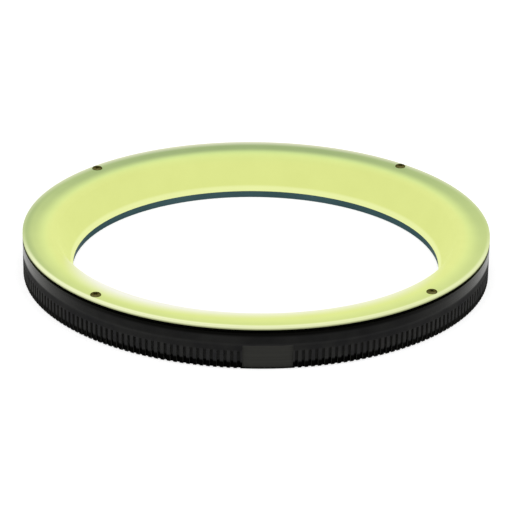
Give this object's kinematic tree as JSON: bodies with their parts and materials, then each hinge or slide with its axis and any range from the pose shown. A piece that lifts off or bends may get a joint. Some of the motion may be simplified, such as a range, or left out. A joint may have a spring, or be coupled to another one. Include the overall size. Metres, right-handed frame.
{
  "type": "machine vision ring light",
  "caption": "Large low angle ring light: black finned aluminium ring, glowing opal cone diffuser screwed to its rim, open centre for the camera, cable gland at the back.",
  "frame": {"origin": "on the ring's axis at the back face, the centre of the circle of mounting holes", "axes": "+Z along the ring's axis towards the light-emitting side, -Y towards the label land, +Y out through the cable gland"},
  "size_m": [0.25, 0.2616, 0.0244],
  "materials": {
    "black_anodised_aluminium": "satin black anodised, fine turning lines",
    "opal_acrylic": "opal acrylic lit yellow-green from behind, polished top face",
    "black_foam": "closed cell black foam",
    "black_oxide_steel": "black oxide, slightly oily",
    "slate_anodised_aluminium": "satin slate blue anodised",
    "clear_anodised_aluminium": "satin clear anodised",
    "grey_thermal_tape": "matt grey tape",
    "white_solder_mask": "glossy white solder mask",
    "white_led_package": "matt white moulded package",
    "yellow_led_resin": "clear yellow-green resin",
    "black_chip_coating": "matt black glaze",
    "tinned_copper": "bright tinned copper",
    "white_film": "matt white polyester film",
    "green_circuit_board": "glossy green solder mask",
    "brass": "turned brass",
    "zinc_plated_steel": "zinc plated",
    "natural_nylon": "natural nylon",
    "tan_ceramic": "fired ceramic chip",
    "red_insulation": "red PVC insulation",
    "blue_insulation": "blue PVC insulation",
    "nickel_plated_brass": "nickel plated, hexagon flats",
    "black_rubber": "matt black nitrile rubber"
  },
  "bodies": {
    "root": {"housing": "black_anodised_aluminium", "diffuser": "opal_acrylic", "diffuser_gasket": "black_foam", "diffuser_screws": "black_oxide_steel", "inner_ring": "slate_anodised_aluminium", "inner_ring_screws": "black_oxide_steel", "led_carrier": "clear_anodised_aluminium", "carrier_screws": "black_oxide_steel", "thermal_tape": "grey_thermal_tape", "led_boards": "white_solder_mask", "leds": "white_led_package", "led_windows": "yellow_led_resin", "board_resistors": "black_chip_coating", "board_jumpers": "tinned_copper", "floor_reflector": "white_film", "terminal_board": "green_circuit_board", "terminal_spacers": "brass", "terminal_screws": "zinc_plated_steel", "terminal_block": "natural_nylon", "protection_diode": "black_chip_coating", "board_capacitors": "tan_ceramic", "positive_lead": "red_insulation", "negative_lead": "blue_insulation", "gland_body": "nickel_plated_brass", "gland_washer": "black_rubber", "gland_locknut": "nickel_plated_brass", "gland_seal": "black_rubber", "gland_cap": "nickel_plated_brass"}
  },
  "joints": []
}
